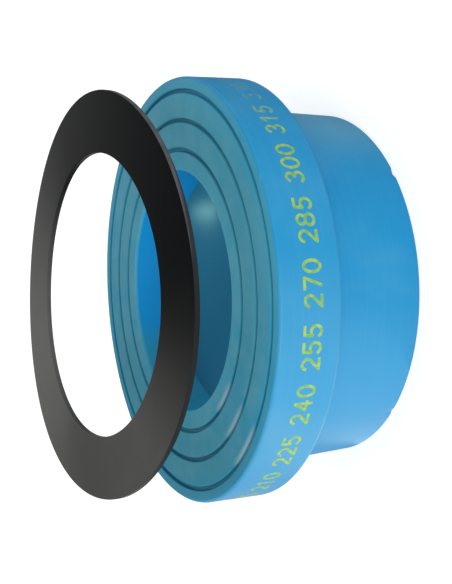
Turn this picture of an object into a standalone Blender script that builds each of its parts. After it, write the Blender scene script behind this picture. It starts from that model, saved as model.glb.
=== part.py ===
"""Flange adapter for socket fusion of a 90 mm polypropylene pipe, with its flat rubber gasket.

Lengths are in metres and +Z is up. The adapter stands on its socket end, so its axis is the Z axis
and its grooved sealing face looks up. The gasket is set apart above that face, on the same axis.
"""

import math

import bmesh
import bpy

# Pipe and fusion socket: the pipe's heated end is pushed in from below, up to the stop shoulder
PIPE_DIAMETER = 0.0900
PIPE_WALL = 0.0086
MOUTH_INTERFERENCE = 0.0017
ROOT_INTERFERENCE = 0.0031
SOCKET_DEPTH = 0.0360
LEAD_IN = 0.0010
STOP_FILLET = 0.0008

# Socket body: its outside has a slight draft towards the open end
MOUTH_WALL = 0.0093
ROOT_WALL = 0.01145
MOUTH_EDGE_RADIUS = 0.0016
SHOULDER_FILLET = 0.0012

# Flange: the collar that a loose backing ring pulls towards the gasket
FLANGE_OVERHANG = 0.0091
FLANGE_THICKNESS = 0.0190
RIM_EDGE_RADIUS = 0.0010
STOP_TO_FACE = 0.0148
BORE_EDGE_RADIUS = 0.0005

# Sealing grooves: narrow rings turned into the face, evenly spaced between the two lands
GROOVE_COUNT = 3
GROOVE_WIDTH = 0.0013
GROOVE_FLOOR_WIDTH = 0.0009
GROOVE_DEPTH = 0.0010
INNER_LAND = 0.0055
OUTER_LAND = 0.00355

# Gasket: a flat die-cut ring that covers the grooves, set apart from the face and leaned slightly
GASKET_THICKNESS = 0.0015
GASKET_BORE_MARGIN = 0.0050
GASKET_RIM_MARGIN = 0.00465
GASKET_EDGE_RADIUS = 0.0002
GASKET_STAND_OFF = 0.0246
GASKET_LEAN_FORWARD = math.radians(4.2)
GASKET_LEAN_SIDEWAYS = math.radians(1.7)

# Facets
COLLAR_SEGMENTS = 96
GASKET_SEGMENTS = 96
ARC_STEPS = 4
SMALL_ARC_STEPS = 2
MERGE_DISTANCE = 0.00001
SMOOTH_ANGLE = math.radians(35)

# Worked out from the values above
OVERALL_LENGTH = SOCKET_DEPTH + STOP_TO_FACE
SHOULDER_HEIGHT = OVERALL_LENGTH - FLANGE_THICKNESS
BORE_RADIUS = PIPE_DIAMETER / 2 - PIPE_WALL
MOUTH_RADIUS = (PIPE_DIAMETER - MOUTH_INTERFERENCE) / 2
ROOT_RADIUS = (PIPE_DIAMETER - ROOT_INTERFERENCE) / 2
BODY_END_RADIUS = MOUTH_RADIUS + MOUTH_WALL
BODY_ROOT_RADIUS = ROOT_RADIUS + ROOT_WALL
FLANGE_RADIUS = BODY_ROOT_RADIUS + FLANGE_OVERHANG


def clear_scene():
    """Remove whatever the open file holds."""
    for obj in list(bpy.data.objects):
        bpy.data.objects.remove(obj, do_unlink=True)


def make_collection(name):
    """A new collection, linked to the scene."""
    collection = bpy.data.collections.new(name)
    bpy.context.scene.collection.children.link(collection)
    return collection


def make_material(name, colour, roughness, metallic=0.0):
    """A Principled material of one plain colour."""
    material = bpy.data.materials.new(name)
    material.use_nodes = True
    material.diffuse_color = (*colour, 1.0)
    shader = material.node_tree.nodes["Principled BSDF"]
    shader.inputs["Base Color"].default_value = (*colour, 1.0)
    shader.inputs["Roughness"].default_value = roughness
    shader.inputs["Metallic"].default_value = metallic
    return material


def rounded_corner(before, corner, after, radius, steps):
    """Points of the arc that replaces a corner of a profile, from the side of before to after."""
    to_before = (before[0] - corner[0], before[1] - corner[1])
    to_after = (after[0] - corner[0], after[1] - corner[1])
    start_angle = math.atan2(to_before[1], to_before[0])
    end_angle = math.atan2(to_after[1], to_after[0])
    opening = (end_angle - start_angle + math.pi) % (2 * math.pi) - math.pi
    half = abs(opening) / 2
    middle = start_angle + opening / 2
    centre_distance = radius / math.sin(half)
    centre = (
        corner[0] + centre_distance * math.cos(middle),
        corner[1] + centre_distance * math.sin(middle),
    )
    sweep = math.pi - 2 * half
    turn = -math.copysign(1.0, opening)
    first = middle + math.pi - turn * sweep / 2
    return [
        (
            centre[0] + radius * math.cos(first + turn * sweep * i / steps),
            centre[1] + radius * math.sin(first + turn * sweep * i / steps),
        )
        for i in range(steps + 1)
    ]


def round_profile(corners):
    """A closed profile from corners given as (radius from the axis, height, edge radius, arc steps)."""
    points = []
    for i, (x, z, edge_radius, steps) in enumerate(corners):
        if edge_radius == 0:
            points.append((x, z))
            continue
        before = corners[i - 1][:2]
        after = corners[(i + 1) % len(corners)][:2]
        points += rounded_corner(before, (x, z), after, edge_radius, steps)
    return points


def turned_piece(name, profile, segments, material, collection):
    """A solid of revolution about Z: a closed profile with a Screw modifier."""
    mesh = bpy.data.meshes.new(name)
    profile_mesh = bmesh.new()
    verts = [profile_mesh.verts.new((x, 0.0, z)) for x, z in profile]
    for i, vert in enumerate(verts):
        profile_mesh.edges.new((vert, verts[(i + 1) % len(verts)]))
    profile_mesh.to_mesh(mesh)
    profile_mesh.free()
    mesh.materials.append(material)

    piece = bpy.data.objects.new(name, mesh)
    collection.objects.link(piece)
    screw = piece.modifiers.new("turn", "SCREW")
    screw.axis = "Z"
    screw.angle = 2 * math.pi
    screw.steps = segments
    screw.render_steps = segments
    screw.use_merge_vertices = True
    screw.merge_threshold = MERGE_DISTANCE
    screw.use_smooth_shade = True
    return piece


def shade_by_angle(piece):
    """Apply the modifiers, then shade the curved faces smooth and keep the sharp edges."""
    depsgraph = bpy.context.evaluated_depsgraph_get()
    mesh = bpy.data.meshes.new_from_object(piece.evaluated_get(depsgraph))
    piece.modifiers.clear()
    piece.data = mesh
    mesh.shade_smooth()
    mesh.set_sharp_from_angle(angle=SMOOTH_ANGLE)


def groove_radii():
    """Mid radii of the grooves, from the inner one to the outer one."""
    first = BORE_RADIUS + INNER_LAND + GROOVE_WIDTH / 2
    last = FLANGE_RADIUS - OUTER_LAND - GROOVE_WIDTH / 2
    pitch = (last - first) / (GROOVE_COUNT - 1)
    return [first + pitch * i for i in range(GROOVE_COUNT)]


def groove_corners(radius):
    """One groove with slightly sloping walls, from its inner edge to its outer edge."""
    floor_height = OVERALL_LENGTH - GROOVE_DEPTH
    return [
        (radius - GROOVE_WIDTH / 2, OVERALL_LENGTH, 0, 0),
        (radius - GROOVE_FLOOR_WIDTH / 2, floor_height, 0, 0),
        (radius + GROOVE_FLOOR_WIDTH / 2, floor_height, 0, 0),
        (radius + GROOVE_WIDTH / 2, OVERALL_LENGTH, 0, 0),
    ]


def collar_profile():
    """Down the rim and the socket body, up the fusion socket and the bore, out across the face."""
    corners = [
        (FLANGE_RADIUS, OVERALL_LENGTH, RIM_EDGE_RADIUS, ARC_STEPS),
        (FLANGE_RADIUS, SHOULDER_HEIGHT, RIM_EDGE_RADIUS, ARC_STEPS),
        (BODY_ROOT_RADIUS, SHOULDER_HEIGHT, SHOULDER_FILLET, ARC_STEPS),
        (BODY_END_RADIUS, 0.0, MOUTH_EDGE_RADIUS, ARC_STEPS),
        (MOUTH_RADIUS + LEAD_IN, 0.0, 0, 0),
        (MOUTH_RADIUS, LEAD_IN, 0, 0),
        (ROOT_RADIUS, SOCKET_DEPTH, STOP_FILLET, SMALL_ARC_STEPS),
        (BORE_RADIUS, SOCKET_DEPTH, BORE_EDGE_RADIUS, SMALL_ARC_STEPS),
        (BORE_RADIUS, OVERALL_LENGTH, BORE_EDGE_RADIUS, ARC_STEPS),
    ]
    for radius in groove_radii():
        corners += groove_corners(radius)
    return round_profile(corners)


def gasket_profile():
    """A flat ring that covers the grooves, with its lower face at height 0."""
    outer = FLANGE_RADIUS - GASKET_RIM_MARGIN
    inner = BORE_RADIUS + GASKET_BORE_MARGIN
    edge = (GASKET_EDGE_RADIUS, SMALL_ARC_STEPS)
    return round_profile(
        [
            (outer, GASKET_THICKNESS, *edge),
            (outer, 0.0, *edge),
            (inner, 0.0, *edge),
            (inner, GASKET_THICKNESS, *edge),
        ]
    )


def make_collar(collection):
    """The moulded adapter: flange, socket body, bore and fusion socket in one piece."""
    blue = make_material("blue_polypropylene", (0.035, 0.30, 0.62), 0.38)
    collar = turned_piece("flange_collar", collar_profile(), COLLAR_SEGMENTS, blue, collection)
    shade_by_angle(collar)
    return collar


def make_gasket(collection):
    """The loose rubber ring, apart from the sealing face."""
    black = make_material("black_rubber", (0.018, 0.018, 0.020), 0.62)
    gasket = turned_piece("gasket", gasket_profile(), GASKET_SEGMENTS, black, collection)
    shade_by_angle(gasket)
    gasket.location = (0.0, 0.0, OVERALL_LENGTH + GASKET_STAND_OFF)
    gasket.rotation_euler = (GASKET_LEAN_FORWARD, GASKET_LEAN_SIDEWAYS, 0.0)
    return gasket


def main():
    clear_scene()
    collection = make_collection("socket_fusion_flange_adapter")
    make_collar(collection)
    make_gasket(collection)


main()
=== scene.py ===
"""Looks of the socket fusion flange adapter and its gasket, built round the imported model.

Lengths are in metres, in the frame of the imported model: the adapter stands on its socket end and +Z is
up. An angle round the axis is 0 on the side of the camera, -Y, and grows towards +X.
"""

import math
import random

import bmesh
import bpy
from mathutils import Euler, Matrix, Vector


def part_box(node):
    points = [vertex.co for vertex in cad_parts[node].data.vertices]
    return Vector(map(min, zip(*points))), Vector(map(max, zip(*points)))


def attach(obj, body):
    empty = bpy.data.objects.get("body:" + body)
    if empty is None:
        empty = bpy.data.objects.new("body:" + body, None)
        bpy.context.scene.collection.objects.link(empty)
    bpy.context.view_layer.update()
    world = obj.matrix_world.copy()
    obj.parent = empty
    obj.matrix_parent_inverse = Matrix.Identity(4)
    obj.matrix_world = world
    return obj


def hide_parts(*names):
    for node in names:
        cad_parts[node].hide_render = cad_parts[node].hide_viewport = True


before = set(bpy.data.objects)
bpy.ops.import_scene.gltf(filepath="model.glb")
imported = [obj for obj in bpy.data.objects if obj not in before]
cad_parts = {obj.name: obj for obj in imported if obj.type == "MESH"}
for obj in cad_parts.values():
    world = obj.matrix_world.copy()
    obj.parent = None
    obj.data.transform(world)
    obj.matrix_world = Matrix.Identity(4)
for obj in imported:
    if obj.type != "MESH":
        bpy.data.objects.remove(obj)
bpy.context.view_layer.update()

# Sizes of the collar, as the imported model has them
COLLAR_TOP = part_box("flange_collar")[1]
FLANGE_RADIUS = COLLAR_TOP.x
OVERALL_LENGTH = COLLAR_TOP.z
FLANGE_THICKNESS = 0.0190
SHOULDER_HEIGHT = OVERALL_LENGTH - FLANGE_THICKNESS
FLANGE_OVERHANG = 0.0091
BODY_ROOT_RADIUS = FLANGE_RADIUS - FLANGE_OVERHANG
BODY_END_RADIUS = 0.05345
SOCKET_DEPTH = 0.0360
MOUTH_RADIUS = 0.04415
ROOT_RADIUS = 0.04345
BORE_RADIUS = 0.0364
LEAD_IN = 0.0010

# Grooves of the sealing face
GROOVE_COUNT = 3
GROOVE_WIDTH = 0.0013
GROOVE_FLOOR_WIDTH = 0.0009
GROOVE_DEPTH = 0.0010
INNER_LAND = 0.0055
OUTER_LAND = 0.00355

# Gasket: 0.4 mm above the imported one, with its lean to 0.2 degrees, bent up at one angle and its opposite
GASKET_THICKNESS = 0.0015
GASKET_OUTER = FLANGE_RADIUS - 0.00465
GASKET_INNER = BORE_RADIUS + 0.0050
GASKET_HEIGHT = OVERALL_LENGTH + 0.0250
GASKET_LEAN = (math.radians(4.05), math.radians(1.86), 0.0)
GASKET_BEND = 0.00137
GASKET_BEND_ANGLE = 72.6

# Edge radii: front and back of the rim, shoulder, socket end, stop, bore and grooves
RIM_EDGE = 0.0010
RIM_BACK_EDGE = 0.0016
SHOULDER_FILLET = 0.0012
MOUTH_EDGE = 0.0008
STOP_FILLET = 0.0008
BORE_EDGE = 0.0005
GROOVE_INNER_EDGE = 0.0005
GROOVE_OUTER_EDGE = 0.0003
GROOVE_FLOOR_EDGE = 0.00015
GASKET_EDGE = 0.0002

# Fineness of the turned meshes, and how strongly their large faces keep their own shading
SEGMENTS = 560
ARC_STEPS = 6
SMALL_ARC_STEPS = 3
LONGEST_STEP = 0.0025
EVEN_SHADING_WEIGHT = 60

# Camera: the photograph's viewing angle, with the axis of the part across the picture
CAMERA_DISTANCE = 0.33555
CAMERA_ELEVATION = math.radians(23.37)
CAMERA_ROLL = math.radians(93.17)
AIM_SIDEWAYS = math.radians(-0.206)
AIM_UPWARDS = math.radians(-2.47)
SENSOR_HEIGHT = 36.0
LENS = 68.0


def place(angle, radius, height):
    """The point at an angle in degrees, a radius and a height."""
    turn = math.radians(angle)
    return Vector((radius * math.sin(turn), -radius * math.cos(turn), height))


def rounded_corner(before, corner, after, radius, steps):
    """Points of the arc that replaces a corner of a profile, from the side of before to after."""
    start = math.atan2(before[1] - corner[1], before[0] - corner[0])
    end = math.atan2(after[1] - corner[1], after[0] - corner[0])
    opening = (end - start + math.pi) % (2 * math.pi) - math.pi
    half = abs(opening) / 2
    middle = start + opening / 2
    reach = radius / math.sin(half)
    centre = (corner[0] + reach * math.cos(middle), corner[1] + reach * math.sin(middle))
    sweep = math.copysign(math.pi - 2 * half, -opening)
    first = middle + math.pi - sweep / 2
    return [
        (
            centre[0] + radius * math.cos(first + sweep * i / steps),
            centre[1] + radius * math.sin(first + sweep * i / steps),
        )
        for i in range(steps + 1)
    ]


def round_profile(corners):
    """A closed profile from corners given as (radius from the axis, height, edge radius, arc steps)."""
    points = []
    for i, (x, z, edge, steps) in enumerate(corners):
        if edge == 0:
            points.append((x, z))
        else:
            before = corners[i - 1][:2]
            after = corners[(i + 1) % len(corners)][:2]
            points += rounded_corner(before, (x, z), after, edge, steps)
    return points


def divided(profile):
    """The closed profile with its long runs cut into steps."""
    points = []
    for i, start in enumerate(profile):
        end = profile[(i + 1) % len(profile)]
        steps = max(1, math.ceil(math.dist(start, end) / LONGEST_STEP))
        points += [
            (start[0] + (end[0] - start[0]) * k / steps, start[1] + (end[1] - start[1]) * k / steps)
            for k in range(steps)
        ]
    return points


def turned_mesh(name, profile):
    """A closed mesh of revolution about Z from a profile that runs clockwise in (radius, height)."""
    shape = bmesh.new()
    rings = []
    for k in range(SEGMENTS):
        turn = 2 * math.pi * k / SEGMENTS
        rings.append([shape.verts.new((x * math.cos(turn), x * math.sin(turn), z)) for x, z in profile])
    for k, ring in enumerate(rings):
        following = rings[(k + 1) % SEGMENTS]
        for i in range(len(profile)):
            j = (i + 1) % len(profile)
            shape.faces.new((ring[i], ring[j], following[j], following[i]))
    bmesh.ops.recalc_face_normals(shape, faces=shape.faces)
    mesh = bpy.data.meshes.new(name)
    shape.to_mesh(mesh)
    shape.free()
    mesh.shade_smooth()
    return mesh


def add_piece(name, mesh, material):
    """An object with that mesh and material, in the scene."""
    piece = bpy.data.objects.new(name, mesh)
    mesh.materials.append(material)
    bpy.context.scene.collection.objects.link(piece)
    return piece


def shade_evenly(piece):
    """Let the flat and cylindrical faces keep their own shading beside the small edge arcs."""
    shading = piece.modifiers.new("even_shading", "WEIGHTED_NORMAL")
    shading.weight = EVEN_SHADING_WEIGHT


def dent(mesh, centre, size, push):
    """Press the surface in by the vector push at a centre, fading out over a size."""
    for vert in mesh.vertices:
        share = (vert.co - centre).length / size
        if share < 1:
            vert.co += push * (1 - share * share) ** 2


class Shader:
    """The nodes of a material or a world, made by short calls."""

    def __init__(self, holder):
        holder.use_nodes = True
        self.tree = holder.node_tree

    def add(self, kind, *inputs, output=0, **settings):
        """A node of a kind, with values or sockets for its first inputs, and one of its outputs."""
        made = self.tree.nodes.new("ShaderNode" + kind)
        for key, value in settings.items():
            setattr(made, key, value)
        for socket, value in zip(made.inputs, inputs):
            self.feed(socket, value)
        return made.outputs[output]

    def feed(self, socket, value):
        """Link a socket to an output, or set its value. None leaves it as it is."""
        if isinstance(value, bpy.types.NodeSocket):
            self.tree.links.new(value, socket)
        elif value is not None:
            socket.default_value = value

    def set(self, **inputs):
        """Values or outputs for inputs of the Principled shader, with _ for a space in a name."""
        for name, value in inputs.items():
            self.feed(self.tree.nodes["Principled BSDF"].inputs[name.replace("_", " ")], value)

    def math(self, operation, *inputs):
        """The result of a Math node."""
        return self.add("Math", *inputs, operation=operation)

    def times(self, first, *others):
        """The product of two or more values."""
        for other in others:
            first = self.math("MULTIPLY", first, other)
        return first

    def ramp(self, value, low, high):
        """0 where a value is at low, 1 where it is at high, smooth between."""
        return self.add("MapRange", value, low, high, 0.0, 1.0, interpolation_type="SMOOTHSTEP")

    def mix(self, share, first, second):
        """Colour between two, by a share."""
        made = self.tree.nodes.new("ShaderNodeMix")
        made.data_type = "RGBA"
        for name, value in (("Factor_Float", share), ("A_Color", first), ("B_Color", second)):
            self.feed(next(s for s in made.inputs if s.identifier == name), value)
        return next(s for s in made.outputs if s.identifier == "Result_Color")

    def tint(self, base, mark, share, colour):
        """A base colour with a share of another one where a mark is 1."""
        return self.mix(self.times(mark, share), base, colour)

    def noise(self, vector, scale, detail=2.0, roughness=0.5):
        """Noise from about 0 to 1, with a scale in features a metre."""
        return self.add("TexNoise", vector, None, scale, detail, roughness)

    def scaled(self, vector, x, y, z):
        """A vector stretched along each axis."""
        return self.add("VectorMath", vector, (x, y, z), operation="MULTIPLY")

    def bump(self, height, strength, distance, normal=None):
        """The normal of a height, laid over another normal if one is given."""
        made = self.tree.nodes.new("ShaderNodeBump")
        self.feed(made.inputs["Strength"], strength)
        self.feed(made.inputs["Distance"], distance)
        self.feed(made.inputs["Height"], height)
        self.feed(made.inputs["Normal"], normal)
        return made.outputs["Normal"]


def own_position(shader):
    """Place on a piece, in its object's coordinates."""
    return shader.add("TexCoord", output=3)


def radius_and_height(shader, position):
    """Radius from the Z axis and height of a position."""
    across = shader.scaled(position, 1.0, 1.0, 0.0)
    radius = shader.add("VectorMath", across, operation="LENGTH", output=1)
    return radius, shader.add("SeparateXYZ", position, output=2)


def towards(shader, position, angle, radius):
    """Cosine of the angle between a position and a direction round the axis, on a surface of one radius."""
    direction = place(angle, 1 / radius, 0.0)
    return shader.add("VectorMath", position, direction, operation="DOT_PRODUCT", output=1)


def aligned(shader, position, angle, radius):
    """The same cosine on a surface of many radii, from the radius at each position."""
    return shader.math("DIVIDE", towards(shader, position, angle, 1.0), radius)


# Angles round the axis where the marks of the materials, and their painted light and shade, are strongest
PAINTED_SHEEN_ANGLE = -40.0
END_SHEEN_ANGLE = 76.0
GREY_BORE_ANGLE = -125.0
FACE_LIGHT_ANGLE = 75.0
GROOVE_HIGHLIGHT_ANGLE = -48.0
GASKET_SHEEN_ANGLE = -155.0
WEAK_GASKET_SHEEN_ANGLE = -59.0
SCUFF_AND_HIGHLIGHT_ANGLE = 60.0
WORN_ANGLE = 78.0

# Radii and heights between which a mark fades in: (no mark, full mark)
END_SHEEN_HEIGHTS = (SHOULDER_HEIGHT, SHOULDER_HEIGHT * 0.30)
INSIDE_RADII = (MOUTH_RADIUS + 0.0020, MOUTH_RADIUS + 0.0010)
SOCKET_HEIGHTS = (SOCKET_DEPTH + 0.0005, SOCKET_DEPTH - 0.0020)
OUTER_LAND_RADII = (FLANGE_RADIUS - 0.0090, FLANGE_RADIUS - 0.0030)
TURNED_HEIGHTS = (OVERALL_LENGTH - 0.0012, OVERALL_LENGTH - 0.0008)
TURNED_RADII = (FLANGE_RADIUS - 0.0004, FLANGE_RADIUS - 0.0011)
CUT_EDGE_RADII = (GASKET_OUTER - 0.00018, GASKET_OUTER - 0.00006)
# Heights of the painted shade on the lower side of the cut edge
CUT_EDGE_SHADE_HEIGHTS = (GASKET_THICKNESS * 0.75, GASKET_THICKNESS * 0.15)

# The same for distances outwards from the middle of the nearest groove
DIRT_AND_SHADE_REACH = (0.0011, 0.0004)
# Reaches of the painted highlight on the grooves' inner edges
HIGHLIGHT_INNER_REACH = (-0.0022, -0.0013)
HIGHLIGHT_OUTER_REACH = (0.0003, -0.0008)

# Colours of the collar's moulded skin and of its inside, among them painted sheens
SKIN_DEEP = (0.007, 0.245, 0.535, 1.0)
SKIN_BRIGHT = (0.013, 0.290, 0.605, 1.0)
DRAG_BLUE = (0.022, 0.310, 0.610, 1.0)
# A pale haze, also used as the painted sheen on one side of the skin
HAZE_AND_SHEEN_BLUE = (0.080, 0.330, 0.570, 1.0)
# Painted sheen on one side of the socket end
END_SHEEN_BLUE = (0.230, 0.500, 0.540, 1.0)
INSIDE_BLUE = (0.008, 0.300, 0.720, 1.0)
INSIDE_GREY = (0.045, 0.275, 0.290, 1.0)

# Colours of the turned face and its grooves, with the face's painted light and shade and the grooves'
# painted highlight
TURNED_DEEP = (0.032, 0.330, 0.510, 1.0)
TURNED_PALE = (0.085, 0.375, 0.530, 1.0)
TOOL_RING_BLUE = (0.045, 0.335, 0.530, 1.0)
OUTER_LAND_BLUE = (0.020, 0.310, 0.540, 1.0)
# Painted light and painted shade, on opposite sides of the face
FACE_PAINTED_LIGHT_BLUE = (0.120, 0.500, 0.660, 1.0)
FACE_PAINTED_SHADE_BLUE = (0.005, 0.130, 0.160, 1.0)
# Dirt, with painted shade, in and beside the grooves
DIRT_AND_SHADE_BLUE = (0.005, 0.100, 0.165, 1.0)
# Painted highlight on the inner edges of the grooves
GROOVE_HIGHLIGHT_BLUE = (0.300, 0.480, 0.560, 1.0)

# Colours of the gasket, with its painted sheen, highlight and shade, and of the ink
RUBBER_BLACK = (0.0035, 0.0040, 0.0050, 1.0)
# Grey bloom, also the painted sheen of the gasket
BLOOM_AND_SHEEN_GREY = (0.106, 0.108, 0.107, 1.0)
CUT_EDGE_GREY = (0.034, 0.041, 0.048, 1.0)
# Scuffs, and the painted highlight on one side of the cut edge
SCUFF_AND_HIGHLIGHT_GREY = (0.090, 0.100, 0.112, 1.0)
THIN_INK = (0.17, 0.40, 0.13, 1.0)
FULL_INK = (0.34, 0.52, 0.10, 1.0)
WORN_INK = (0.030, 0.280, 0.500, 1.0)


def groove_radii():
    """Mid radii of the grooves, from the inner one to the outer one."""
    first = BORE_RADIUS + INNER_LAND + GROOVE_WIDTH / 2
    last = FLANGE_RADIUS - OUTER_LAND - GROOVE_WIDTH / 2
    return [first + (last - first) * i / (GROOVE_COUNT - 1) for i in range(GROOVE_COUNT)]


def skin_colour(blue, position, height, broad, drag):
    """Moulded skin: nearly even, with faint drag lines round the part, a patchy haze with a painted sheen on
    one side, and a painted sheen on one side of the socket end.
    """
    skin = blue.mix(broad, SKIN_DEEP, SKIN_BRIGHT)
    skin = blue.tint(skin, blue.ramp(drag, 0.35, 0.75), 0.35, DRAG_BLUE)
    patches = blue.ramp(blue.noise(blue.scaled(position, 1.0, 1.0, 0.6), 32.0, 4.0, 0.6), 0.45, 0.75)
    # Painted sheen: the skin is painted paler on one side, where a highlight falls; the noise patches add a
    # haze at random
    sheen_side = blue.ramp(towards(blue, position, PAINTED_SHEEN_ANGLE, BODY_ROOT_RADIUS), 0.70, 1.0)
    haze_and_sheen = blue.math("MULTIPLY_ADD", sheen_side, 0.40, blue.times(patches, 0.35))
    skin = blue.mix(haze_and_sheen, skin, HAZE_AND_SHEEN_BLUE)
    # Painted sheen: one side of the socket end is painted paler, growing towards the end
    end_sheen_side = blue.ramp(towards(blue, position, END_SHEEN_ANGLE, BODY_END_RADIUS), 0.80, 1.0)
    end_sheen = blue.times(end_sheen_side, blue.ramp(height, *END_SHEEN_HEIGHTS))
    return blue.tint(skin, end_sheen, 0.30, END_SHEEN_BLUE)


def inside_colour(blue, skin, position, height, inside):
    """The skin, cleaner and deeper blue in the bore and socket, and greyer in the socket and on one side."""
    skin = blue.tint(skin, inside, 0.80, INSIDE_BLUE)
    in_socket = blue.ramp(height, *SOCKET_HEIGHTS)
    grey_side = blue.ramp(towards(blue, position, GREY_BORE_ANGLE, BORE_RADIUS), 0.72, 0.98)
    grey = blue.times(inside, blue.math("MAXIMUM", in_socket, grey_side))
    return blue.tint(skin, grey, 0.60, INSIDE_GREY)


def turned_colour(blue, position, radius, rings):
    """Turned face: greyer and greener, mottled, with rings that the tool left, painted light on one side and
    painted shade on the opposite side.
    """
    mottle = blue.ramp(blue.noise(position, 130.0, 5.0, 0.6), 0.3, 0.7)
    turned = blue.mix(mottle, TURNED_DEEP, TURNED_PALE)
    turned = blue.tint(turned, rings, 0.35, TOOL_RING_BLUE)
    turned = blue.tint(turned, blue.ramp(radius, *OUTER_LAND_RADII), 0.60, OUTER_LAND_BLUE)
    # Painted light and shade: the face is painted paler on one side and darker on the opposite side
    side = towards(blue, position, FACE_LIGHT_ANGLE, FLANGE_RADIUS * 0.8)
    turned = blue.tint(turned, blue.ramp(side, -0.2, 0.4), 0.22, FACE_PAINTED_LIGHT_BLUE)
    return blue.tint(turned, blue.ramp(side, -0.3, -0.9), 0.30, FACE_PAINTED_SHADE_BLUE)


def groove_marks(blue, position, radius, is_turned):
    """Two marks: dirt with painted shade in and beside the grooves, and a painted highlight on their inner
    edges on one side.
    """
    first, second = groove_radii()[:2]
    half_pitch = (second - first) / 2
    from_groove = blue.math("WRAP", blue.math("SUBTRACT", radius, first), half_pitch, -half_pitch)
    # Dirt and painted shade: darker in the grooves and a little way onto the lands beside them
    dirt_and_shade = blue.times(blue.ramp(blue.math("ABSOLUTE", from_groove), *DIRT_AND_SHADE_REACH), is_turned)
    # Painted highlight: pale streaks on the grooves' inner edges, on one side of the face
    highlight_side = blue.ramp(aligned(blue, position, GROOVE_HIGHLIGHT_ANGLE, radius), 0.984, 1.0)
    inner = blue.ramp(from_groove, *HIGHLIGHT_INNER_REACH)
    outer = blue.ramp(from_groove, *HIGHLIGHT_OUTER_REACH)
    return dirt_and_shade, blue.times(highlight_side, is_turned, inner, outer)


def make_blue():
    """Moulded blue polypropylene, with a matt, finely turned sealing face."""
    material = bpy.data.materials.new("blue_polypropylene")
    blue = Shader(material)
    position = own_position(blue)
    radius, height = radius_and_height(blue, position)
    broad = blue.noise(position, 45.0, 3.0)
    drag = blue.noise(blue.scaled(position, 25.0, 25.0, 1500.0), 1.0, 2.0)
    rings = blue.noise(blue.add("CombineXYZ", blue.times(radius, 2600.0), 0.0, 0.0), 1.0, 2.0)
    inside = blue.ramp(radius, *INSIDE_RADII)
    is_turned = blue.times(blue.ramp(height, *TURNED_HEIGHTS), blue.ramp(radius, *TURNED_RADII))
    dirt_and_shade, groove_highlight = groove_marks(blue, position, radius, is_turned)

    skin = skin_colour(blue, position, height, broad, drag)
    skin = inside_colour(blue, skin, position, height, inside)
    colour = blue.mix(is_turned, skin, turned_colour(blue, position, radius, rings))
    # Dirt and painted shade in and beside the grooves
    colour = blue.tint(colour, dirt_and_shade, 0.50, DIRT_AND_SHADE_BLUE)
    # Painted highlight on the inner edges of the grooves, on one side
    colour = blue.tint(colour, groove_highlight, 0.60, GROOVE_HIGHLIGHT_BLUE)

    # The inside is glossier than the outside, and the turned face and the dirt and painted shade of its
    # grooves are duller
    roughness = blue.add("MapRange", broad, 0.3, 0.7, 0.38, 0.45)
    roughness = blue.add("MapRange", inside, 0.0, 1.0, roughness, 0.22)
    roughness = blue.add("MapRange", is_turned, 0.0, 1.0, roughness, 0.50)
    specular = blue.add("MapRange", dirt_and_shade, 0.0, 1.0, 0.20, 0.06)
    peel = blue.bump(blue.noise(position, 700.0, 2.0), 0.06, 0.0002)
    lines = blue.bump(drag, 0.05, 0.0002, peel)
    face_rings = blue.bump(blue.times(rings, is_turned), 0.25, 0.0001, lines)
    blue.set(Base_Color=colour, Normal=face_rings)
    blue.set(Roughness=roughness, Specular_IOR_Level=specular, IOR=1.49)
    return material


def make_rubber():
    """Black rubber with a grey bloom painted stronger towards one side as a sheen, and a greyer cut edge,
    partly scuffed, with a painted highlight on one side and painted shade low down.
    """
    material = bpy.data.materials.new("black_rubber")
    rubber = Shader(material)
    middle = (0.0, 0.0, GASKET_HEIGHT)
    position = rubber.add("Mapping", own_position(rubber), middle, GASKET_LEAN, vector_type="TEXTURE")
    radius, height = radius_and_height(rubber, position)
    clouds = rubber.add("MapRange", rubber.noise(position, 60.0, 5.0, 0.6), 0.2, 0.7, 0.85, 1.0)
    # Painted sheen: the grey bloom is painted strongest towards two sides, where reflections fall; the
    # clouds vary it at random
    strong_sheen = aligned(rubber, position, GASKET_SHEEN_ANGLE, radius)
    strong_sheen = rubber.math("POWER", rubber.add("MapRange", strong_sheen, -0.12, 0.97, 0.0, 1.0), 2.0)
    weak_sheen = aligned(rubber, position, WEAK_GASKET_SHEEN_ANGLE, radius)
    weak_sheen = rubber.math("POWER", rubber.math("MAXIMUM", weak_sheen, 0.0), 4.7)
    bloom_and_sheen = rubber.times(rubber.math("MULTIPLY_ADD", weak_sheen, 0.73, strong_sheen), clouds)
    colour = rubber.mix(bloom_and_sheen, RUBBER_BLACK, BLOOM_AND_SHEEN_GREY)

    # The cut edge is greyer than the faces, paler on one side where it is scuffed and a highlight is
    # painted, and painted darker as shade towards its lower side
    cut = rubber.ramp(radius, *CUT_EDGE_RADII)
    colour = rubber.mix(cut, colour, CUT_EDGE_GREY)
    # Painted highlight: the cut edge is painted paler on one side, broken up like scuffs
    scuff_and_highlight = rubber.ramp(towards(rubber, position, SCUFF_AND_HIGHLIGHT_ANGLE, GASKET_OUTER), 0.35, 0.85)
    chips = rubber.add("MapRange", rubber.noise(position, 300.0, 3.0), 0.3, 0.6, 0.6, 1.0)
    colour = rubber.mix(rubber.times(scuff_and_highlight, cut, chips), colour, SCUFF_AND_HIGHLIGHT_GREY)
    # Painted shade: the lower side of the cut edge is painted darker
    low = rubber.times(cut, rubber.ramp(height, *CUT_EDGE_SHADE_HEIGHTS))
    colour = rubber.tint(colour, low, 0.65, RUBBER_BLACK)
    grain = rubber.bump(rubber.noise(position, 2500.0, 2.0), 0.15, 0.0001)
    rubber.set(Base_Color=colour, Roughness=0.30, Normal=grain, IOR=1.14)
    return material


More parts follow.
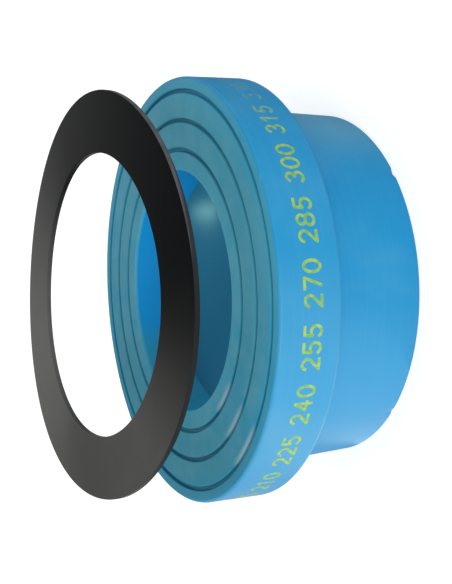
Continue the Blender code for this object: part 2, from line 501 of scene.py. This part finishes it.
def make_ink():
    """Yellow-green marking ink, thin enough on its worn side for the blue to show through."""
    material = bpy.data.materials.new("marking_ink")
    ink = Shader(material)
    position = own_position(ink)
    cover = ink.ramp(ink.noise(position, 700.0, 2.0), 0.35, 0.65)
    colour = ink.mix(cover, THIN_INK, FULL_INK)
    worn = ink.ramp(towards(ink, position, WORN_ANGLE, FLANGE_RADIUS), 0.75, 1.0)
    colour = ink.tint(colour, worn, 0.85, WORN_INK)
    ink.set(Base_Color=colour, Roughness=0.5, Specular_IOR_Level=0.25)
    return material


# Nicks of handling on the edges of the collar: (angle, radius, height, size, depth)
NICKS = [
    (26.0, FLANGE_RADIUS, OVERALL_LENGTH, 0.0016, 0.0005),
    (37.5, FLANGE_RADIUS, SHOULDER_HEIGHT, 0.0016, 0.0004),
    (35.2, BODY_END_RADIUS, 0.0, 0.0022, 0.0007),
    (-46.5, BODY_END_RADIUS, 0.0, 0.0018, 0.0004),
]


def collar_profile():
    """Down the rim and the socket body, up the fusion socket and the bore, out across the face."""
    corners = [
        (FLANGE_RADIUS, OVERALL_LENGTH, RIM_EDGE, ARC_STEPS),
        (FLANGE_RADIUS, SHOULDER_HEIGHT, RIM_BACK_EDGE, ARC_STEPS),
        (BODY_ROOT_RADIUS, SHOULDER_HEIGHT, SHOULDER_FILLET, ARC_STEPS),
        (BODY_END_RADIUS, 0.0, MOUTH_EDGE, ARC_STEPS),
        (MOUTH_RADIUS + LEAD_IN, 0.0, 0, 0),
        (MOUTH_RADIUS, LEAD_IN, 0, 0),
        (ROOT_RADIUS, SOCKET_DEPTH, STOP_FILLET, SMALL_ARC_STEPS),
        (BORE_RADIUS, SOCKET_DEPTH, BORE_EDGE, SMALL_ARC_STEPS),
        (BORE_RADIUS, OVERALL_LENGTH, BORE_EDGE, ARC_STEPS),
    ]
    floor_height = OVERALL_LENGTH - GROOVE_DEPTH
    bottom = (GROOVE_FLOOR_EDGE, SMALL_ARC_STEPS)
    for middle in groove_radii():
        corners += [
            (middle - GROOVE_WIDTH / 2, OVERALL_LENGTH, GROOVE_INNER_EDGE, ARC_STEPS),
            (middle - GROOVE_FLOOR_WIDTH / 2, floor_height, *bottom),
            (middle + GROOVE_FLOOR_WIDTH / 2, floor_height, *bottom),
            (middle + GROOVE_WIDTH / 2, OVERALL_LENGTH, GROOVE_OUTER_EDGE, SMALL_ARC_STEPS),
        ]
    return divided(round_profile(corners))


def make_collar(material):
    """The moulded collar with soft edges and the nicks of handling."""
    mesh = turned_mesh("collar_surface", collar_profile())
    for angle, radius, height, size, depth in NICKS:
        inwards = -place(angle, 1.0, 0.0)
        dent(mesh, place(angle, radius, height), size, inwards * depth)
    collar = add_piece("collar_surface", mesh, material)
    shade_evenly(collar)
    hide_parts("flange_collar")
    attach(collar, "root")


def bend(mesh):
    """Bend a flat ring a little, as a sheet that was rolled up keeps its curve."""
    upwards = place(GASKET_BEND_ANGLE, 1.0, 0.0)
    sideways = place(GASKET_BEND_ANGLE + 90, 1.0, 0.0)
    for vert in mesh.vertices:
        along = vert.co.dot(upwards) / GASKET_OUTER
        across = vert.co.dot(sideways) / GASKET_OUTER
        vert.co.z += GASKET_BEND * (along * along - across * across)


def make_gasket(material):
    """The loose ring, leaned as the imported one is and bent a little."""
    edge = (GASKET_EDGE, SMALL_ARC_STEPS)
    profile = round_profile(
        [
            (GASKET_OUTER, GASKET_THICKNESS, *edge),
            (GASKET_OUTER, 0.0, *edge),
            (GASKET_INNER, 0.0, *edge),
            (GASKET_INNER, GASKET_THICKNESS, *edge),
        ]
    )
    mesh = turned_mesh("gasket_ring", divided(profile))
    bend(mesh)
    lean = Euler(GASKET_LEAN).to_matrix().to_4x4()
    mesh.transform(Matrix.Translation((0.0, 0.0, GASKET_HEIGHT)) @ lean)
    gasket = add_piece("gasket_ring", mesh, material)
    shade_evenly(gasket)
    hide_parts("gasket")
    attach(gasket, "root")


# Print on the rim: the numbers of a scale of degrees, each digit drawn with ribbons of ink
DIGIT_HEIGHT = 0.0050
DIGIT_WIDTH = 0.0030
DIGIT_PITCH = 0.0045
PRINT_LOW_EDGE = OVERALL_LENGTH - 0.0124
SCALE_STEP = 15
SCALE_AT_CAMERA = 270
STROKE_STEP = 0.00040
STROKE_OVERRUN = 0.00025
FINE_LINE_STEPS = 40
FINE_ARC_STEPS = 80

# Wear of the print: share of the points that are gone where it is worn most, and how far that reaches
WORN_SHARE = 0.20
WORN_REACH = 30.0
WEAR_SEED = 7

# Across a stroke: (distance from its middle, height above the rim)
INK_SECTION = [(-0.00048, -0.00002), (-0.00038, 0.00002), (0.00038, 0.00002), (0.00048, -0.00002)]

# Strokes of a digit in a box of width 1 and height 1, each of them an arc or a line
# An arc is (centre x, centre y, half width, half height, first angle, last angle)
# A line is (first x, first y, last x, last y)
DIGIT_STROKES = {
    "0": [(0.50, 0.50, 0.50, 0.50, 0, 360)],
    "1": [(0.15, 0.76, 0.55, 1.00), (0.55, 1.00, 0.55, 0.00)],
    "2": [(0.50, 0.70, 0.48, 0.30, 165, -35), (0.89, 0.53, 0.02, 0.00), (0.02, 0.00, 1.00, 0.00)],
    "3": [(0.48, 0.75, 0.42, 0.25, 155, -85), (0.48, 0.26, 0.50, 0.26, 85, -155)],
    "4": [(0.72, 0.00, 0.72, 1.00), (0.72, 1.00, 0.00, 0.32), (0.00, 0.32, 1.00, 0.32)],
    "5": [(0.92, 1.00, 0.15, 1.00), (0.15, 1.00, 0.08, 0.55), (0.46, 0.31, 0.50, 0.31, 140, -150)],
    "6": [(0.50, 0.30, 0.50, 0.30, 0, 360), (0.85, 0.30, 0.85, 0.70, 180, 100)],
    "7": [(0.02, 1.00, 1.00, 1.00), (1.00, 1.00, 0.35, 0.00)],
    "8": [(0.50, 0.75, 0.42, 0.25, 0, 360), (0.50, 0.26, 0.50, 0.26, 0, 360)],
    "9": [(0.50, 0.70, 0.50, 0.30, 0, 360), (0.15, 0.70, 0.85, 0.70, 0, -80)],
}


def lengthened(first, second):
    """The point a stroke's overrun before the first of two points."""
    share = STROKE_OVERRUN / math.dist(first, second)
    return (first[0] + (first[0] - second[0]) * share, first[1] + (first[1] - second[1]) * share)


def stroke_points(stroke):
    """Points a step apart along one stroke, on a digit of real size."""
    if len(stroke) == 4:
        x0, y0, x1, y1 = stroke
        steps = FINE_LINE_STEPS
        fine = [(x0 + (x1 - x0) * t / steps, y0 + (y1 - y0) * t / steps) for t in range(steps + 1)]
    else:
        cx, cy, half_width, half_height, first, last = stroke
        steps = FINE_ARC_STEPS
        turns = [math.radians(first + (last - first) * t / steps) for t in range(steps + 1)]
        fine = [(cx + half_width * math.cos(turn), cy + half_height * math.sin(turn)) for turn in turns]
    fine = [(x * DIGIT_WIDTH, y * DIGIT_HEIGHT) for x, y in fine]
    points = [fine[0]]
    for point in fine[1:]:
        if math.dist(point, points[-1]) >= STROKE_STEP:
            points.append(point)
    points.append(fine[-1])
    return [lengthened(points[0], points[1]), *points[1:-1], lengthened(points[-1], points[-3])]


def add_ribbon(shape, path):
    """A low closed ribbon of ink on the rim, along points of (length round the rim, height)."""
    sections = []
    for i, (x, z) in enumerate(path):
        behind, ahead = path[max(i - 1, 0)], path[min(i + 1, len(path) - 1)]
        length = math.dist(behind, ahead)
        across = ((ahead[1] - behind[1]) / length, (behind[0] - ahead[0]) / length)
        section = []
        for offset, rise in INK_SECTION:
            angle = math.degrees((x + across[0] * offset) / FLANGE_RADIUS)
            section.append(shape.verts.new(place(angle, FLANGE_RADIUS + rise, z + across[1] * offset)))
        sections.append(section)
    for section, following in zip(sections, sections[1:]):
        for i in range(len(section)):
            j = (i + 1) % len(section)
            shape.faces.new((section[i], section[j], following[j], following[i]))
    shape.faces.new(sections[0])
    shape.faces.new(sections[-1])


def add_worn_ribbon(shape, path, worn, draw):
    """A ribbon of ink along a path, broken where a drawn number says that the ink is gone."""
    kept = []
    for point in path:
        if draw.random() >= worn:
            kept.append(point)
            continue
        if len(kept) > 1:
            add_ribbon(shape, kept)
        kept = []
    if len(kept) > 1:
        add_ribbon(shape, kept)


def make_print(material):
    """Numbers of a scale of degrees round the rim, rubbed away on one side."""
    draw = random.Random(WEAR_SEED)
    shape = bmesh.new()
    for value in range(0, 360, SCALE_STEP):
        number_angle = (value - SCALE_AT_CAMERA + 180) % 360 - 180
        text = str(value)
        middle = math.radians(number_angle) * FLANGE_RADIUS
        start = middle - DIGIT_PITCH * (len(text) - 1) / 2 - DIGIT_WIDTH / 2
        worn = WORN_SHARE * max(0.0, 1 - abs(number_angle - WORN_ANGLE) / WORN_REACH)
        for i, digit in enumerate(text):
            for stroke in DIGIT_STROKES[digit]:
                path = [(start + DIGIT_PITCH * i + x, PRINT_LOW_EDGE + y) for x, y in stroke_points(stroke)]
                add_worn_ribbon(shape, path, worn, draw)
    bmesh.ops.recalc_face_normals(shape, faces=shape.faces)
    mesh = bpy.data.meshes.new("rim_scale_print")
    shape.to_mesh(mesh)
    shape.free()
    print_piece = add_piece("rim_scale_print", mesh, material)
    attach(print_piece, "root")


# Floor: its size, its gap below the part, and how strongly it glows for the camera, surfaces and reflections
FLOOR_SIZE = 8.0
FLOOR_GAP = 0.0001
FLOOR_TO_CAMERA = 0.65
FLOOR_TO_SURFACES = 0.40
FLOOR_TO_REFLECTIONS = 0.20
FLOOR_GREY = (0.55, 0.55, 0.55, 1.0)
FLOOR_DIM_GREY = (0.15, 0.15, 0.15, 1.0)

# Backdrop as reflections see it: elevations in degrees where it ends and where it is full, and its greys
BACKDROP_TOP = 31.0
BACKDROP_FULL = 19.0
BACKDROP_GREY = (0.70, 0.70, 0.70, 1.0)
CEILING_GREY = (0.02, 0.02, 0.02, 1.0)

# Light from all round: at the horizon and from overhead
HORIZON_LIGHT = (0.46, 0.455, 0.45, 1.0)
OVERHEAD_LIGHT = (1.02, 1.00, 0.97, 1.0)
WHITE = (1.0, 1.0, 1.0, 1.0)

# Lit oval cards that show only in reflections, with places given as (angle, radius, height)
# (name, place of the middle, place it looks at, width and height, spread in degrees, power, colour)
CARDS = [
    (
        "bounce_card", (-50.0, 0.115, 0.0006), (-50.0, 0.115, 1.0),
        (0.135, 0.135), 180.0, 0.063, (1.0, 1.0, 0.95),
    ),
    (
        "socket_card", (-162.0, 0.0242, 0.0058), (142.6, 0.0438, 0.0230),
        (0.005, 0.010), 80.0, 0.00047, (0.48, 1.0, 0.86),
    ),
]

# Lamps: (name, angle round the part, elevation, distance, size, power, colour)
LAMPS = [
    ("key_light", -30.0, 17.0, 1.2, 0.55, 6.8, (1.0, 0.98, 0.90)),
    ("edge_light", -80.0, 15.0, 1.0, 0.20, 0.5, (1.0, 1.0, 1.0)),
    ("warm_fill", 75.0, 15.0, 1.2, 0.60, 0.95, (1.0, 1.0, 0.85)),
]


def make_floor():
    """A pale floor that stays white to the camera, with the part's shadow on it."""
    material = bpy.data.materials.new("pale_floor")
    pale = Shader(material)
    rays = pale.tree.nodes.new("ShaderNodeLightPath").outputs
    across = pale.add("SeparateXYZ", own_position(pale))
    lit_side = pale.ramp(across, FLANGE_RADIUS * 2, -FLANGE_RADIUS * 2)
    reflected = pale.add("MapRange", lit_side, 0.0, 1.0, 0.0, FLOOR_TO_REFLECTIONS)
    reflects = pale.math("MAXIMUM", rays["Is Glossy Ray"], rays["Is Transmission Ray"])
    strength = pale.times(reflects, reflected)
    strength = pale.math("MULTIPLY_ADD", rays["Is Camera Ray"], FLOOR_TO_CAMERA, strength)
    strength = pale.math("MULTIPLY_ADD", rays["Is Diffuse Ray"], FLOOR_TO_SURFACES, strength)
    glow = pale.add("Emission", WHITE, strength)
    dim = pale.mix(lit_side, FLOOR_DIM_GREY, FLOOR_GREY)
    matt = pale.add("BsdfDiffuse", pale.mix(reflects, FLOOR_GREY, dim))
    pale.feed(pale.tree.nodes["Material Output"].inputs["Surface"], pale.add("AddShader", glow, matt))

    mesh = bpy.data.meshes.new("floor")
    half = FLOOR_SIZE / 2
    corners = [(x * half, y * half, -FLOOR_GAP) for x, y in ((-1, -1), (1, -1), (1, 1), (-1, 1))]
    mesh.from_pydata(corners, [], [(0, 1, 2, 3)])
    add_piece("floor", mesh, material)


def make_world():
    """Even studio light, with a white backdrop that reaches some way above the horizon."""
    world = bpy.data.worlds.new("studio")
    bpy.context.scene.world = world
    studio = Shader(world)
    rays = studio.tree.nodes.new("ShaderNodeLightPath").outputs
    rise = studio.add("SeparateXYZ", studio.add("TexCoord", output=0), output=2)
    top, full = (math.sin(math.radians(elevation)) for elevation in (BACKDROP_TOP, BACKDROP_FULL))
    reflected = studio.mix(studio.ramp(rise, top, full), CEILING_GREY, BACKDROP_GREY)
    ambient = studio.mix(studio.ramp(rise, 0.0, 1.0), HORIZON_LIGHT, OVERHEAD_LIGHT)
    glossy = studio.math("MAXIMUM", rays["Is Glossy Ray"], rays["Is Transmission Ray"])
    colour = studio.mix(glossy, ambient, reflected)
    colour = studio.mix(rays["Is Camera Ray"], colour, WHITE)
    studio.feed(studio.tree.nodes["Background"].inputs["Color"], colour)


def add_lamp(name, angle, elevation, distance, size, power, colour):
    """A square lamp that looks at the middle of the part, from an angle round it and an elevation."""
    light = bpy.data.lights.new(name, "AREA")
    light.size = size
    light.energy = power
    light.color = colour
    lamp = bpy.data.objects.new(name, light)
    rise = math.radians(elevation)
    middle = Vector((0.0, 0.0, OVERALL_LENGTH / 2))
    lamp.location = middle + place(angle, distance * math.cos(rise), distance * math.sin(rise))
    lamp.rotation_euler = (middle - lamp.location).to_track_quat("-Z", "Y").to_euler()
    bpy.context.scene.collection.objects.link(lamp)


def add_card(name, middle, target, sizes, spread, power, colour):
    """A lit oval card that looks from one place to another and shows only in reflections."""
    light = bpy.data.lights.new(name, "AREA")
    light.shape = "ELLIPSE"
    light.size, light.size_y = sizes
    light.spread = math.radians(spread)
    light.energy = power
    light.color = colour
    card = bpy.data.objects.new(name, light)
    card.location = place(*middle)
    card.rotation_euler = (place(*target) - card.location).to_track_quat("-Z", "Y").to_euler()
    card.visible_camera = False
    card.visible_diffuse = False
    bpy.context.scene.collection.objects.link(card)


def make_camera():
    """The photograph's camera."""
    camera = bpy.data.cameras.new("camera")
    camera.sensor_fit = "VERTICAL"
    camera.sensor_height = SENSOR_HEIGHT
    camera.lens = LENS
    camera.clip_start = 0.01
    eye = bpy.data.objects.new("camera", camera)
    bpy.context.scene.collection.objects.link(eye)
    face_centre = Vector((0.0, 0.0, OVERALL_LENGTH))
    away = Vector((0.0, -math.cos(CAMERA_ELEVATION), math.sin(CAMERA_ELEVATION)))
    upwards = Vector((0.0, math.sin(CAMERA_ELEVATION), math.cos(CAMERA_ELEVATION)))
    aim = face_centre + CAMERA_DISTANCE * (
        Vector((math.tan(AIM_SIDEWAYS), 0.0, 0.0)) + math.tan(AIM_UPWARDS) * upwards
    )
    eye.location = face_centre + CAMERA_DISTANCE * away
    turned = (aim - eye.location).to_track_quat("-Z", "Y").to_matrix()
    roll = Matrix.Rotation(-CAMERA_ROLL, 3, "Z")
    eye.rotation_euler = (turned @ roll).to_euler()
    bpy.context.scene.camera = eye


def main():
    """The camera, the pieces with their materials, and the studio round them."""
    bpy.context.scene.view_settings.view_transform = "Standard"
    make_camera()
    make_collar(make_blue())
    make_gasket(make_rubber())
    make_print(make_ink())
    make_floor()
    make_world()
    for lamp in LAMPS:
        add_lamp(*lamp)
    for card in CARDS:
        add_card(*card)


main()
